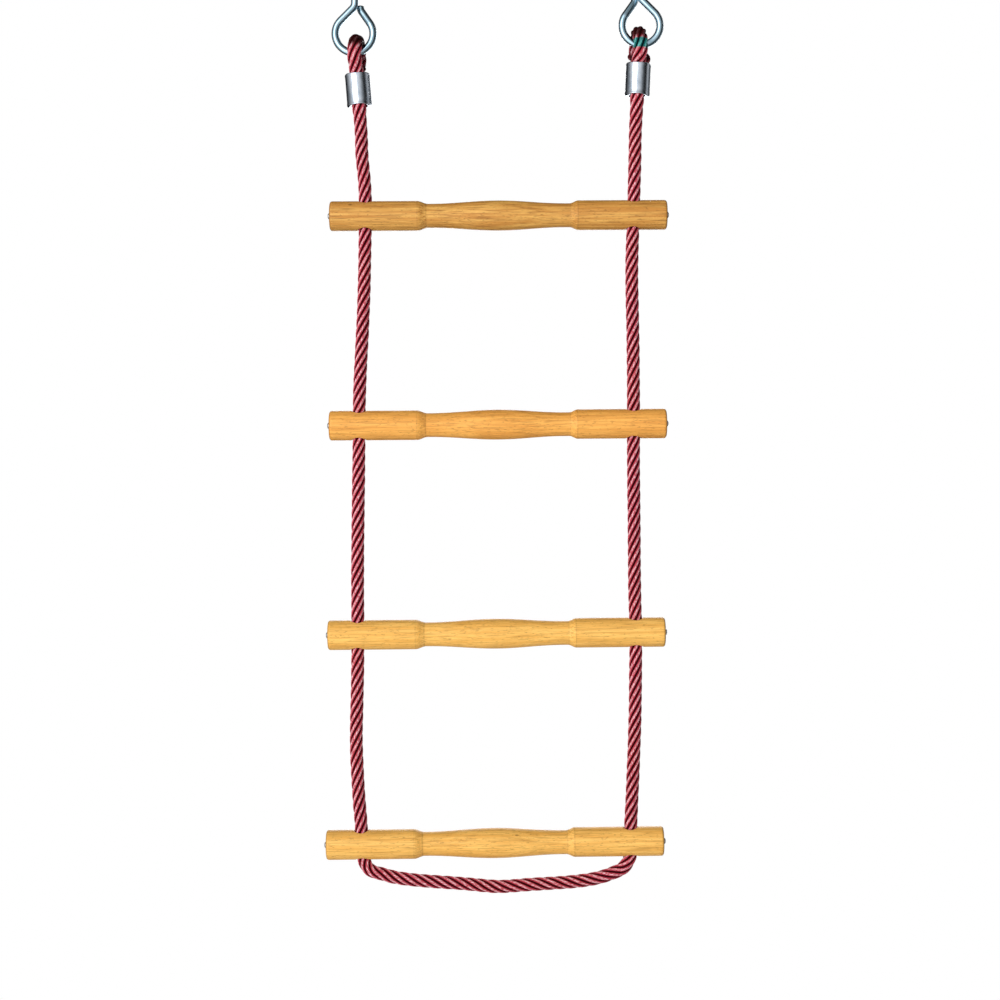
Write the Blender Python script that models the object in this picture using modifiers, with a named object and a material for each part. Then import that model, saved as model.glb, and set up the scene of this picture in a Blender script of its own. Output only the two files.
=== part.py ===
"""A hanging rope ladder: two bent-wire hooks, one laid rope and four turned wooden rungs.

The rope runs from the left hook down through the rungs, across under the lowest rung and
back up to the right hook. Each end of it is a loop over a hook's eye, closed by a pressed sleeve.
Metres, +Z up, +X along the rungs to the right, -Y towards the front. The origin is the centre
of the level bar that the hooks hang on. The rope is one piece in life; here it is divided at
the places where it bends as the ladder folds, so that each length can move.
"""

import math

import bmesh
import bpy
import numpy as np
from mathutils import Matrix, Vector

MM = 0.001
GAP = 0.3 * MM
FRONT = Vector((0, -1, 0))
BACK = Vector((0, 1, 0))
UP = Vector((0, 0, 1))

# Rope
ROPE_RADIUS = 8.0 * MM
SQUEEZED_RADIUS = 6.2 * MM
ROPE_BEVEL_RESOLUTION = 3
POINT_SPACING = 30 * MM
BOTTOM_ROPE_POINTS = 26

# Rungs: turned to full diameter at the ends and the middle, with a neck on each side of the swell
RUNG_LENGTH = 402 * MM
RUNG_RADIUS = 17.6 * MM
RUNG_MIDDLE_RADIUS = 17.8 * MM
NECK_RADIUS = 14.2 * MM
NECK_AT = 80 * MM
NECK_WIDTH = 3 * MM
SHOULDER_AT = 96 * MM
RUNG_EDGE = 3.0 * MM
RUNG_SIDES = 24
BORE_RADIUS = ROPE_RADIUS + 0.4 * MM
BORE_OVERRUN = 8 * MM

# Each rung's centre as (x, z) in millimetres, and its tilt in degrees, right end up
RUNG_CENTRES = [(0.9, -320.5), (0.4, -570.1), (-1.2, -819.6), (-3.0, -1069.5)]
RUNG_TILTS = [0.24, 0.40, 0.58, 0.71]
LOWEST = len(RUNG_CENTRES) - 1

# Screws that lock the rope in the rungs, driven in along the rung's axis
SCREW_HEAD_RADIUS = 3.6 * MM
SCREW_HEAD_HEIGHT = 2.7 * MM
SCREW_HEAD_LIFT = 0.1 * MM
SCREW_RADIUS = 1.9 * MM
SCREW_LENGTH = 38 * MM
SCREW_POINT = 5 * MM
SCREW_SIDES = 12
PILOT_RADIUS = SCREW_RADIUS + GAP
PILOT_OVERRUN = 5 * MM
PILOT_SPARE = 1 * MM

# Hooks: round bar, bent to a closed eye below and an open hook above
WIRE_RADIUS = 4.4 * MM
WIRE_BEVEL_RESOLUTION = 2
HANGING_RADIUS = 25.5 * MM
EYE_RADIUS = 22.6 * MM
EYE_CENTRE_X = 171.3 * MM
EYE_BOTTOM = {"left": -126.0 * MM, "right": -116.4 * MM}
EYE_ARC = (30, -225)
CRANK_TOP = {"left": -20 * MM, "right": -12 * MM}
SHANK_X = 0.8 * MM
SHANK_START = 32.8 * MM
SHANK_BEND = 10 * MM
# The eye's free end from its centre, as (across, back, up), and the hook's tip from the bar, as (back, up)
FREE_END = [
    (7.2 * MM, 7.2 * MM, 34.5 * MM),
    (7.2 * MM, 6.9 * MM, 29.9 * MM),
    (17.2 * MM, 0.9 * MM, 15.2 * MM),
]
FREE_END_BEND = 8 * MM
TIP = [(25.5 * MM, -8 * MM), (29.5 * MM, -19 * MM)]
TIP_BEND = 12 * MM

# Rope loops over the eyes, thinner under load, and the pressed sleeves below them
LOOP_X = 168.0 * MM
LOOP_ROPE_RADIUS = 7.6 * MM
LOOP_CLEARANCE = 1.3 * MM
LOOP_RADIUS = WIRE_RADIUS + LOOP_ROPE_RADIUS + LOOP_CLEARANCE
LOOP_SPLAY = 2.0 * MM
LOOP_POINTS = 34
# Below the wire, each leg of the loop passes these places, as (down, out)
LOOP_LEG = [(14 * MM, 10.6 * MM), (5 * MM, LOOP_RADIUS - 0.3 * MM)]
LEG_OFFSET = 6.5 * MM
SQUEEZE_ABOVE_SLEEVE = (13 * MM, 2 * MM)
SLEEVE_RADIUS = 15.2 * MM
SLEEVE_LENGTH = 40 * MM
SLEEVE_EDGE = 1.4 * MM
SLEEVE_SIDES = 28
SLEEVE_BORE = (9.0 * MM, 13.5 * MM)
SLEEVE_TOP = {"left": -151.0 * MM, "right": -138.6 * MM}
INSIDE_SLEEVE = 10 * MM
ROPE_JOIN = 0.6 * SLEEVE_LENGTH
TAIL_BELOW_SLEEVE = 1.0 * MM
SWELL_BELOW_SLEEVE = (2 * MM, 16 * MM)
TOP_ROPE_POINTS = 18
TOP_ROPE_BEND = 40 * MM

# Hinge stations: the rope bends this far above and below each rung's axis
STATION = 45 * MM
BOTTOM_STATION = 26.5 * MM
STATION_GAP = 0.4 * MM

# The rope's centreline in the plane y = 0, in millimetres, from sleeve to lowest rung on each side
LEFT_LEG = [
    (-165.1, -188), (-163.5, -207), (-162.6, -228), (-161.8, -250), (-159.6, -272),
    (-158.1, -295), (-157.8, -321), (-158.2, -350), (-158.9, -390), (-160.3, -436),
    (-162.5, -482), (-164.5, -524), (-165.3, -571), (-165.6, -604), (-166.2, -655),
    (-166.9, -712), (-167.1, -768), (-166.8, -821), (-167.0, -858), (-168.0, -907),
    (-168.6, -952), (-167.2, -987), (-164.8, -1025), (-162.6, -1053), (-159.8, -1088),
]
RIGHT_LEG = [
    (166.3, -179), (165.2, -197), (164.5, -222), (164.0, -252), (163.2, -283),
    (162.2, -320), (160.7, -360), (160.3, -400), (161.2, -445), (162.0, -500),
    (162.3, -569), (162.3, -622), (162.9, -676), (163.4, -745), (164.3, -792),
    (165.0, -818), (164.8, -858), (164.3, -906), (163.0, -953), (161.3, -996),
    (159.5, -1036), (158.9, -1067), (158.3, -1085),
]
# ... and from the left exit of the lowest rung to the right one, hanging in a shallow U
BOTTOM = [
    (-155.6, -1098), (-149.6, -1103.2), (-140, -1106), (-128, -1109.3), (-113.7, -1112),
    (-85, -1115), (-56.4, -1117), (-27.7, -1119.3), (1, -1121.5), (29.6, -1119.8),
    (58.3, -1118), (86.9, -1116), (113, -1112.6), (130, -1108.2), (140.5, -1104.2),
    (149, -1100), (154.2, -1094.2),
]

SIDES = {"left": LEFT_LEG, "right": RIGHT_LEG}
COLOURS = {
    "rope": ((0.36, 0.03, 0.045), 0.75, 0.0),
    "wood": ((0.72, 0.38, 0.11), 0.5, 0.0),
    "zinc": ((0.55, 0.60, 0.64), 0.3, 1.0),
    "aluminium": ((0.62, 0.64, 0.66), 0.35, 1.0),
    "steel": ((0.45, 0.45, 0.46), 0.4, 1.0),
}


def clear_scene():
    for obj in list(bpy.data.objects):
        bpy.data.objects.remove(obj)


def new_collection(name):
    collection = bpy.data.collections.new(name)
    bpy.context.scene.collection.children.link(collection)
    return collection


def make_material(name):
    colour, roughness, metallic = COLOURS[name]
    material = bpy.data.materials.new(name)
    material.use_nodes = True
    shader = material.node_tree.nodes["Principled BSDF"]
    shader.inputs["Base Color"].default_value = (*colour, 1.0)
    shader.inputs["Roughness"].default_value = roughness
    shader.inputs["Metallic"].default_value = metallic
    return material


def smooth_step(value, start, stop):
    """0 before start and 1 after stop, with a smooth rise between them."""
    t = min(1.0, max(0.0, (value - start) / (stop - start)))
    return t * t * (3 - 2 * t)


# ---------------------------------------------------------------- routes

def smooth_route(points, step=1.0 * MM):
    """A natural cubic spline through the points, sampled about every step along its length."""
    knots = np.array([tuple(p) for p in points], float)
    chords = np.linalg.norm(np.diff(knots, axis=0), axis=1)
    n = len(knots)
    matrix = np.zeros((n, n))
    right = np.zeros((n, knots.shape[1]))
    matrix[0, 0] = 1.0
    matrix[-1, -1] = 1.0
    for i in range(1, n - 1):
        before = chords[i - 1]
        after = chords[i]
        matrix[i, i - 1] = before
        matrix[i, i] = 2 * (before + after)
        matrix[i, i + 1] = after
        rise = (knots[i + 1] - knots[i]) / after - (knots[i] - knots[i - 1]) / before
        right[i] = 6 * rise
    bend = np.linalg.solve(matrix, right)
    route = []
    for i, chord in enumerate(chords):
        count = max(2, int(chord / step))
        for t in np.arange(count) / count:
            u = 1 - t
            line = u * knots[i] + t * knots[i + 1]
            sag = ((u**3 - u) * bend[i] + (t**3 - t) * bend[i + 1]) * chord**2 / 6
            route.append(line + sag)
    route.append(knots[-1])
    return np.array(route)


def in_plane(points):
    """Millimetre (x, z) pairs as points in metres in the plane y = 0."""
    return [(x * MM, 0.0, z * MM) for x, z in points]


def resample(route, count):
    steps = np.linalg.norm(np.diff(route, axis=0), axis=1)
    s = np.concatenate([[0.0], np.cumsum(steps)])
    at = np.linspace(0, s[-1], count)
    return np.stack([np.interp(at, s, route[:, k]) for k in range(3)], axis=1)


def point_at_height(leg, z):
    """The point of a leg's route, which only runs down, at height z."""
    down = leg[::-1]
    return Vector((np.interp(z, down[:, 2], down[:, 0]), 0.0, z))


def stretch(leg, top, bottom):
    """The leg's route between two heights, as points about POINT_SPACING apart."""
    inner = leg[(leg[:, 2] < top - 0.5 * MM) & (leg[:, 2] > bottom + 0.5 * MM)]
    ends = [point_at_height(leg, top), point_at_height(leg, bottom)]
    route = np.vstack([ends[0], inner, ends[1]])
    length = np.linalg.norm(np.diff(route, axis=0), axis=1).sum()
    return resample(route, max(4, int(round(length / POINT_SPACING)) + 1))


def arc(centre, radius, start, stop, steps, across, up):
    """Points round a centre, in the plane of two directions, from angle start to stop in degrees."""
    points = []
    for angle in np.radians(np.linspace(start, stop, steps)):
        points.append(centre + radius * (math.cos(angle) * across + math.sin(angle) * up))
    return points


def filleted(corners, radius, steps=5):
    """A line through the corners, with each inner corner rounded to the radius."""
    points = [corners[0]]
    for before, corner, after in zip(corners, corners[1:], corners[2:]):
        back = (before - corner).normalized()
        ahead = (after - corner).normalized()
        turn = math.pi - back.angle(ahead)
        reach = radius * math.tan(turn / 2)
        centre = corner + (back + ahead).normalized() * (radius / math.cos(turn / 2))
        start = corner + back * reach - centre
        for k in range(steps + 1):
            part = start.copy()
            part.rotate(Matrix.Rotation(turn * k / steps, 3, back.cross(ahead) * -1))
            points.append(centre + part)
    points.append(corners[-1])
    return points


# ---------------------------------------------------------------- makers

def tube(name, points, radius, material, collection, factors=None, resolution=ROPE_BEVEL_RESOLUTION):
    """A round bar or rope along the points; factors scale its radius point by point."""
    data = bpy.data.curves.new(name, "CURVE")
    data.dimensions = "3D"
    data.bevel_depth = radius
    data.bevel_resolution = resolution
    data.use_fill_caps = True
    spline = data.splines.new("POLY")
    spline.points.add(len(points) - 1)
    for i, point in enumerate(points):
        spline.points[i].co = (*point, 1.0)
        spline.points[i].radius = 1.0 if factors is None else factors[i]
    data.materials.append(material)
    obj = bpy.data.objects.new(name, data)
    collection.objects.link(obj)
    return obj


def to_mesh(obj, collection):
    """The curve object as a mesh object with welded caps; the curve is removed."""
    bpy.context.view_layer.update()
    graph = bpy.context.evaluated_depsgraph_get()
    mesh = bpy.data.meshes.new_from_object(obj.evaluated_get(graph))
    bm = bmesh.new()
    bm.from_mesh(mesh)
    bmesh.ops.remove_doubles(bm, verts=bm.verts, dist=0.01 * MM)
    bm.to_mesh(mesh)
    bm.free()
    name = obj.name
    made = bpy.data.objects.new(name, mesh)
    made.matrix_world = obj.matrix_world
    bpy.data.objects.remove(obj)
    made.name = name
    collection.objects.link(made)
    return made


def turned(name, profile, sides, material, collection):
    """A profile of (radius, height) pairs, top to bottom, turned about the object's own Z axis."""
    mesh = bpy.data.meshes.new(name)
    vertices = [(radius, 0.0, height) for radius, height in profile]
    mesh.from_pydata(vertices, [(i, i + 1) for i in range(len(profile) - 1)], [])
    mesh.materials.append(material)
    obj = bpy.data.objects.new(name, mesh)
    collection.objects.link(obj)
    screw = obj.modifiers.new("turn", "SCREW")
    screw.steps = sides
    screw.render_steps = sides
    screw.use_merge_vertices = True
    screw.merge_threshold = 0.01 * MM
    screw.use_smooth_shade = True
    return obj


def cylinder_cutter(name, radius, start, stop, cutters, sides=24):
    """A cutter of the radius between two points."""
    mesh = bpy.data.meshes.new(name)
    bm = bmesh.new()
    length = (stop - start).length
    bmesh.ops.create_cone(bm, cap_ends=True, segments=sides, radius1=radius, radius2=radius, depth=length)
    bm.to_mesh(mesh)
    bm.free()
    obj = bpy.data.objects.new(name, mesh)
    obj.matrix_world = pointing(start, stop)
    obj.hide_render = True
    obj.display_type = "WIRE"
    cutters.objects.link(obj)
    return obj


def pointing(start, stop):
    """A placement halfway between two points, with local Z from the first to the second."""
    turn = Vector((0, 0, 1)).rotation_difference(stop - start)
    return Matrix.Translation((start + stop) / 2) @ turn.to_matrix().to_4x4()


def cut(obj, cutter):
    boolean = obj.modifiers.new(cutter.name, "BOOLEAN")
    boolean.operation = "DIFFERENCE"
    boolean.object = cutter


# ---------------------------------------------------------------- rungs and what is in them

def rung_profile():
    """Half the rung by distance from its middle, mirrored to the whole outline, as (radius, height)."""
    half = [(RUNG_MIDDLE_RADIUS, 0.0)]
    for k in range(1, 5):
        drop = 0.5 - 0.5 * math.cos(math.pi * k / 5)
        radius = RUNG_MIDDLE_RADIUS + (NECK_RADIUS - RUNG_MIDDLE_RADIUS) * drop
        half.append((radius, NECK_AT * k / 5))
    half.append((NECK_RADIUS, NECK_AT))
    shoulder_start = NECK_AT + NECK_WIDTH
    for k in range(1, 4):
        rise = 0.5 - 0.5 * math.cos(math.pi * k / 3)
        radius = NECK_RADIUS + (RUNG_RADIUS - NECK_RADIUS) * rise
        half.append((radius, shoulder_start + (SHOULDER_AT - shoulder_start) * k / 3))
    end = RUNG_LENGTH / 2
    for angle in (0, math.pi / 4, math.pi / 2):
        radius = RUNG_RADIUS - RUNG_EDGE * (1 - math.cos(angle))
        half.append((radius, end - RUNG_EDGE * (1 - math.sin(angle))))
    half.append((0.0, end))
    lower = [(radius, -height) for radius, height in half[1:]]
    return list(reversed(half)) + lower


def rung_matrix(number):
    """The rung's placement: local Z of the turned profile lies along the rung, to the right."""
    x, z = RUNG_CENTRES[number]
    tilt = Matrix.Rotation(-math.radians(RUNG_TILTS[number]), 4, "Y")
    along_x = Matrix.Rotation(math.pi / 2, 4, "Y")
    return Matrix.Translation((x * MM, 0, z * MM)) @ tilt @ along_x


def axis_height(number, x):
    """The height of a rung's axis at x."""
    centre_x, centre_z = RUNG_CENTRES[number]
    return centre_z * MM + (x - centre_x * MM) * math.tan(math.radians(RUNG_TILTS[number]))


def hole(number, leg):
    """The point where the leg's route crosses the rung's axis."""
    z = RUNG_CENTRES[number][1] * MM
    for _ in range(3):
        z = axis_height(number, point_at_height(leg, z).x)
    return point_at_height(leg, z)


def make_rung(number, legs, materials, parts, cutters):
    """A rung with a rope hole and a screw at each end, and the rope that it holds."""
    placement = rung_matrix(number)
    rung = turned(f"rung_{number + 1}", rung_profile(), RUNG_SIDES, materials["wood"], parts)
    rung.matrix_world = placement
    made = [rung]
    for side, leg in legs.items():
        label = f"{number + 1}_{side}"
        centre = hole(number, leg)
        above = point_at_height(leg, centre.z + RUNG_RADIUS)
        below = point_at_height(leg, centre.z - RUNG_RADIUS)
        reach = (below - above).normalized() * (RUNG_RADIUS + BORE_OVERRUN)
        middle = (above + below) / 2
        cut(rung, cylinder_cutter(f"bore_{label}", BORE_RADIUS, middle - reach, middle + reach, cutters))

        outward = 1 if side == "right" else -1
        face = placement @ Vector((0, 0, outward * RUNG_LENGTH / 2))
        inward = (placement.translation - face).normalized()
        tip = face + inward * SCREW_LENGTH
        outside = face - inward * PILOT_OVERRUN
        pilot_end = tip + inward * PILOT_SPARE
        pilot = cylinder_cutter(f"pilot_{label}", PILOT_RADIUS, outside, pilot_end, cutters, SCREW_SIDES)
        cut(rung, pilot)
        screw = turned(f"screw_{label}", screw_profile(), SCREW_SIDES, materials["steel"], parts)
        screw.matrix_world = pointing(tip, face)
        screw.location = face
        rope = rope_in_rung(number, side, leg, materials["rope"], parts)
        cut(rope, pilot)
        made += [screw, rope]
    return made


def screw_profile():
    """A pan-head screw from the top of the head down to the tip; the head stands on z = 0."""
    return [
        (0.0, SCREW_HEAD_LIFT + SCREW_HEAD_HEIGHT),
        (0.55 * SCREW_HEAD_RADIUS, SCREW_HEAD_LIFT + 0.96 * SCREW_HEAD_HEIGHT),
        (0.85 * SCREW_HEAD_RADIUS, SCREW_HEAD_LIFT + 0.75 * SCREW_HEAD_HEIGHT),
        (SCREW_HEAD_RADIUS, SCREW_HEAD_LIFT + 0.4 * SCREW_HEAD_HEIGHT),
        (SCREW_HEAD_RADIUS, SCREW_HEAD_LIFT),
        (SCREW_RADIUS, SCREW_HEAD_LIFT),
        (SCREW_RADIUS, -SCREW_LENGTH + SCREW_POINT),
        (0.0, -SCREW_LENGTH),
    ]


def rope_in_rung(number, side, leg, material, parts):
    """The rope where a rung holds it, from just below the station above to just above the one below."""
    centre = hole(number, leg)
    clearance = ROPE_RADIUS + STATION_GAP
    upper = STATION - clearance
    lower = (BOTTOM_STATION if number == LOWEST else STATION) - clearance
    heights = [upper, RUNG_RADIUS, 0.0, -RUNG_RADIUS, -lower]
    points = [point_at_height(leg, centre.z + height) for height in heights]
    return to_mesh(tube(f"rope_in_rung_{number + 1}_{side}", points, ROPE_RADIUS, material, parts), parts)


# ---------------------------------------------------------------- ropes between the rungs

def rounded_ends(points, radius, top=True, bottom=True):
    """The points with a half ball added past each end that is asked for, and their radius factors."""
    offsets = [0.45, 0.75, 0.93, 1.0]
    factors = [math.sqrt(1 - offset**2) for offset in offsets[:-1]] + [0.06]
    points = [Vector(p) for p in points]
    sizes = [1.0] * len(points)
    if top:
        out = (points[0] - points[1]).normalized()
        points = [points[0] + out * radius * offset for offset in reversed(offsets)] + points
        sizes = list(reversed(factors)) + sizes
    if bottom:
        out = (points[-1] - points[-2]).normalized()
        points = points + [points[-1] + out * radius * offset for offset in offsets]
        sizes = sizes + factors
    return points, sizes


def make_bay(number, legs, rope, parts):
    """The rope on both sides from a rung's lower station to the next rung's upper one."""
    made = []
    for side, leg in legs.items():
        top = hole(number, leg).z - STATION
        bottom = hole(number + 1, leg).z + STATION
        points, sizes = rounded_ends(stretch(leg, top, bottom), ROPE_RADIUS)
        made.append(tube(f"rope_bay_{number + 1}_{side}", points, ROPE_RADIUS, rope, parts, sizes))
    return made


def make_bottom_rope(rope, parts):
    """The rope from one exit of the lowest rung to the other."""
    route = smooth_route(in_plane(BOTTOM))
    points, sizes = rounded_ends(resample(route, BOTTOM_ROPE_POINTS), ROPE_RADIUS)
    return tube("rope_under_rungs", points, ROPE_RADIUS, rope, parts, sizes)


# ---------------------------------------------------------------- hooks, loops and sleeves

def make_hook(side, zinc, parts):
    """Round bar: a pear-shaped eye facing front, a shank cranked forward and a hook over the bar."""
    inward = 1 if side == "left" else -1
    centre = Vector((-inward * EYE_CENTRE_X, 0, EYE_BOTTOM[side] + EYE_RADIUS))
    across = Vector((inward, 0, 0))
    bar = centre + across * SHANK_X - UP * centre.z

    def from_eye(over, back, up):
        return centre + across * over + BACK * back + UP * up

    free_end = filleted([from_eye(*place) for place in FREE_END], FREE_END_BEND, 4)
    eye = arc(centre, EYE_RADIUS, *EYE_ARC, 26, across, UP)
    crank_top = CRANK_TOP[side]
    shank_line = [
        eye[-1],
        from_eye(SHANK_X, 0, SHANK_START),
        bar + UP * (crank_top - HANGING_RADIUS),
        bar + UP * crank_top + FRONT * HANGING_RADIUS,
        bar + FRONT * HANGING_RADIUS,
    ]
    shank = filleted(shank_line, SHANK_BEND)
    over = arc(bar, HANGING_RADIUS, 180, 0, 14, BACK, UP)
    tip_line = [over[-1]] + [bar + BACK * back + UP * up for back, up in TIP]
    tip = filleted(tip_line, TIP_BEND, 3)
    points = free_end[:-1] + eye + shank[1:] + over[1:] + tip[1:]
    return tube(f"hook_{side}", points, WIRE_RADIUS, zinc, parts, resolution=WIRE_BEVEL_RESOLUTION)


def sleeve_line(side, leg):
    """The sleeve's top centre and its direction, from below the eye to where the rope's leg starts."""
    outward = 1 if side == "right" else -1
    top = Vector((outward * LOOP_X, 0, SLEEVE_TOP[side]))
    return top, (Vector(leg[0]) - top).normalized()


def make_sleeve(side, leg, aluminium, parts, cutters):
    """A pressed sleeve with an oblong bore, which the loop's two legs fill front and back."""
    top, along = sleeve_line(side, leg)
    half = SLEEVE_LENGTH / 2
    profile = [
        (0.0, half),
        (SLEEVE_RADIUS - SLEEVE_EDGE, half),
        (SLEEVE_RADIUS, half - SLEEVE_EDGE),
        (SLEEVE_RADIUS, -half + SLEEVE_EDGE),
        (SLEEVE_RADIUS - SLEEVE_EDGE, -half),
        (0.0, -half),
    ]
    placement = pointing(top + along * SLEEVE_LENGTH, top)
    sleeve = turned(f"sleeve_{side}", profile, SLEEVE_SIDES, aluminium, parts)
    sleeve.matrix_world = placement

    wide, deep = SLEEVE_BORE
    overrun = BORE_OVERRUN / 2
    start = top - along * overrun
    stop = top + along * (SLEEVE_LENGTH + overrun)
    bore = cylinder_cutter(f"sleeve_bore_{side}", wide, stop, start, cutters)
    for vertex in bore.data.vertices:
        if abs(vertex.co.y) > 0.01 * MM:
            vertex.co.y += math.copysign(deep - wide, vertex.co.y)
    cut(sleeve, bore)
    return sleeve


def make_loop(side, leg, rope, parts):
    """The rope's end: up out of the sleeve in front, over the eye and down behind it to its cut end."""
    top, along = sleeve_line(side, leg)
    wire = Vector((top.x, 0, EYE_BOTTOM[side]))
    splay = Vector((LOOP_SPLAY if side == "left" else -LOOP_SPLAY, 0, 0))

    def half_loop(out, end):
        """One leg from inside the sleeve up to beside the wire."""
        line = [end + out * LEG_OFFSET]
        line.append(top + along * INSIDE_SLEEVE + out * LEG_OFFSET)
        line.append(top + out * LEG_OFFSET)
        for share, (down, away) in zip((0.6, 1.0), LOOP_LEG):
            line.append(wire - UP * down + out * away + splay * share * out.y)
        return line

    front_leg = half_loop(FRONT, top + along * ROPE_JOIN)
    over = arc(wire, LOOP_RADIUS, 10, 170, 9, FRONT, UP)
    over = [point + splay * (k / 4 - 1) * 0.8 for k, point in enumerate(over)]
    rear_leg = half_loop(BACK, top + along * (SLEEVE_LENGTH + TAIL_BELOW_SLEEVE))
    route = smooth_route(front_leg + over + rear_leg[::-1])
    points = [Vector(p) for p in resample(route, LOOP_POINTS)]
    squeezed = SQUEEZED_RADIUS / LOOP_ROPE_RADIUS
    sizes = []
    for point in points:
        above_sleeve = (top - point).dot(along)
        free = smooth_step(above_sleeve, SQUEEZE_ABOVE_SLEEVE[1], SQUEEZE_ABOVE_SLEEVE[0])
        sizes.append(squeezed + (1 - squeezed) * free)
    return tube(f"rope_loop_{side}", points, LOOP_ROPE_RADIUS, rope, parts, sizes)


def make_top_rope(side, leg, rope, parts):
    """The rope from inside the sleeve, in line with the loop's front leg, down to the first station."""
    top, along = sleeve_line(side, leg)
    first = top + along * (ROPE_JOIN + 2 * GAP) + FRONT * LEG_OFFSET
    mouth = top + along * (SLEEVE_LENGTH + SWELL_BELOW_SLEEVE[0]) + FRONT * LEG_OFFSET
    lower = stretch(leg, leg[0][2] - TOP_ROPE_BEND, hole(0, leg).z + STATION)
    route = smooth_route([first, (first + mouth) / 2, mouth, *lower])
    points, sizes = rounded_ends(resample(route, TOP_ROPE_POINTS), ROPE_RADIUS, top=False)
    squeezed = SQUEEZED_RADIUS / ROPE_RADIUS
    for i, point in enumerate(points):
        below_sleeve = (point - top).dot(along) - SLEEVE_LENGTH
        sizes[i] *= squeezed + (1 - squeezed) * smooth_step(below_sleeve, *SWELL_BELOW_SLEEVE)
    return tube(f"rope_top_{side}", points, ROPE_RADIUS, rope, parts, sizes)


# ---------------------------------------------------------------- joints

def hinge_empty(name, left, right, parent, parts):
    """An empty on a joint's axis, halfway between its two ends, with X along the axis."""
    empty = bpy.data.objects.new(name, None)
    turn = Vector((1, 0, 0)).rotation_difference(right - left)
    placement = Matrix.Translation((left + right) / 2) @ turn.to_matrix().to_4x4()
    parts.objects.link(empty)
    hang_on(parent, [empty], placement)
    return empty


def hang_on(parent, objects, placement=None):
    """The objects become the parent's children and stay where they are, or go to the placement."""
    bpy.context.view_layer.update()
    for obj in objects:
        world = obj.matrix_world.copy() if placement is None else placement
        obj.parent = parent
        if parent is not None:
            obj.matrix_parent_inverse = parent.matrix_world.inverted()
        obj.matrix_world = world
    bpy.context.view_layer.update()


def station(legs, number, drop):
    """The hinge's two ends: the points of both legs a drop below a rung's axis, or above it if negative."""
    ends = []
    for leg in legs.values():
        ends.append(point_at_height(leg, hole(number, leg).z - drop))
    return ends


def main():
    clear_scene()
    parts = new_collection("rope_ladder")
    cutters = new_collection("cutters")
    materials = {name: make_material(name) for name in COLOURS}
    legs = {side: smooth_route(in_plane(points)) for side, points in SIDES.items()}

    eyes = [Vector((-LOOP_X, 0, EYE_BOTTOM["left"])), Vector((LOOP_X, 0, EYE_BOTTOM["right"]))]
    hinge = hinge_empty("top_swing", *eyes, None, parts)
    for side, leg in legs.items():
        make_hook(side, materials["zinc"], parts)
        sleeve = make_sleeve(side, leg, materials["aluminium"], parts, cutters)
        loop = make_loop(side, leg, materials["rope"], parts)
        top_rope = make_top_rope(side, leg, materials["rope"], parts)
        hang_on(hinge, [sleeve, loop, top_rope])

    for number in range(len(RUNG_CENTRES)):
        hinge = hinge_empty(f"rung_{number + 1}_tilt", *station(legs, number, -STATION), hinge, parts)
        hang_on(hinge, make_rung(number, legs, materials, parts, cutters))
        if number < LOWEST:
            hinge = hinge_empty(f"bay_{number + 1}_fold", *station(legs, number, STATION), hinge, parts)
            hang_on(hinge, make_bay(number, legs, materials["rope"], parts))
    hinge = hinge_empty("bottom_rope_swing", *station(legs, LOWEST, BOTTOM_STATION), hinge, parts)
    hang_on(hinge, [make_bottom_rope(materials["rope"], parts)])


main()
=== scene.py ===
"""The looks of a hanging rope ladder: laid rope, turned wooden rungs, wire hooks and pressed sleeves."""

import math

import bpy
import numpy as np
from mathutils import Matrix, Vector


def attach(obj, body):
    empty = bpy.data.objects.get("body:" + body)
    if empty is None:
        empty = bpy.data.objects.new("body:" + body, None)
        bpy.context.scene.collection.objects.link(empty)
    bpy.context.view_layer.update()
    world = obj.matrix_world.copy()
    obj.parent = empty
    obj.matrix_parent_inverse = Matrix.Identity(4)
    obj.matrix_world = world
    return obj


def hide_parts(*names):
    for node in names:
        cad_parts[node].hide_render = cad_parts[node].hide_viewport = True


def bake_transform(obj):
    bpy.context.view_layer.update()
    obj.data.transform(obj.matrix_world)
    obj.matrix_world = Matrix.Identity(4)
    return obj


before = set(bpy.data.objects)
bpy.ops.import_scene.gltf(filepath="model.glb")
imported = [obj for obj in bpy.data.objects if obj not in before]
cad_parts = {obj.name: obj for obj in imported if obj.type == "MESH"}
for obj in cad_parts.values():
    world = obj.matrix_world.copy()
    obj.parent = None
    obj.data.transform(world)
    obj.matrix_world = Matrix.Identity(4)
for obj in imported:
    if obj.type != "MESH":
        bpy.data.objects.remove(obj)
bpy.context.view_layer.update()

MM = 0.001
ACROSS = np.array([1.0, 0.0, 0.0])
FRONT = np.array([0.0, -1.0, 0.0])
UP = np.array([0.0, 0.0, 1.0])

# The view: straight on, from the middle of the ladder's height
CAMERA_DISTANCE = 2.3
VIEW_WIDTH = 1.194
VIEW_CENTRE = (0.0029, -0.6601)
SENSOR = 36.0

# ---------------------------------------------------------------- the part's own dimensions, in metres

ROPE_RADIUS = 8.0 * MM
RUNG_LENGTH = 402 * MM
RUNG_RADIUS = 17.6 * MM
RUNG_MIDDLE_RADIUS = 17.8 * MM
NECK_RADIUS = 14.2 * MM
BORE_RADIUS = 8.4 * MM
RUNG_CENTRES = [(0.0009, -0.3205), (0.0004, -0.5701), (-0.0012, -0.8196), (-0.0030, -1.0695)]
RUNG_TILTS = [0.24, 0.40, 0.58, 0.71]
LOWEST = len(RUNG_CENTRES) - 1

SCREW_HEAD_RADIUS = 3.6 * MM
SCREW_HEAD_HEIGHT = 2.7 * MM
SCREW_SHANK = (6.0 * MM, 1.9 * MM)
# The head's rim ends at this share of its height, and its dome rises by the next one
SCREW_RIM, SCREW_DOME = 0.42, 0.56
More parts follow.
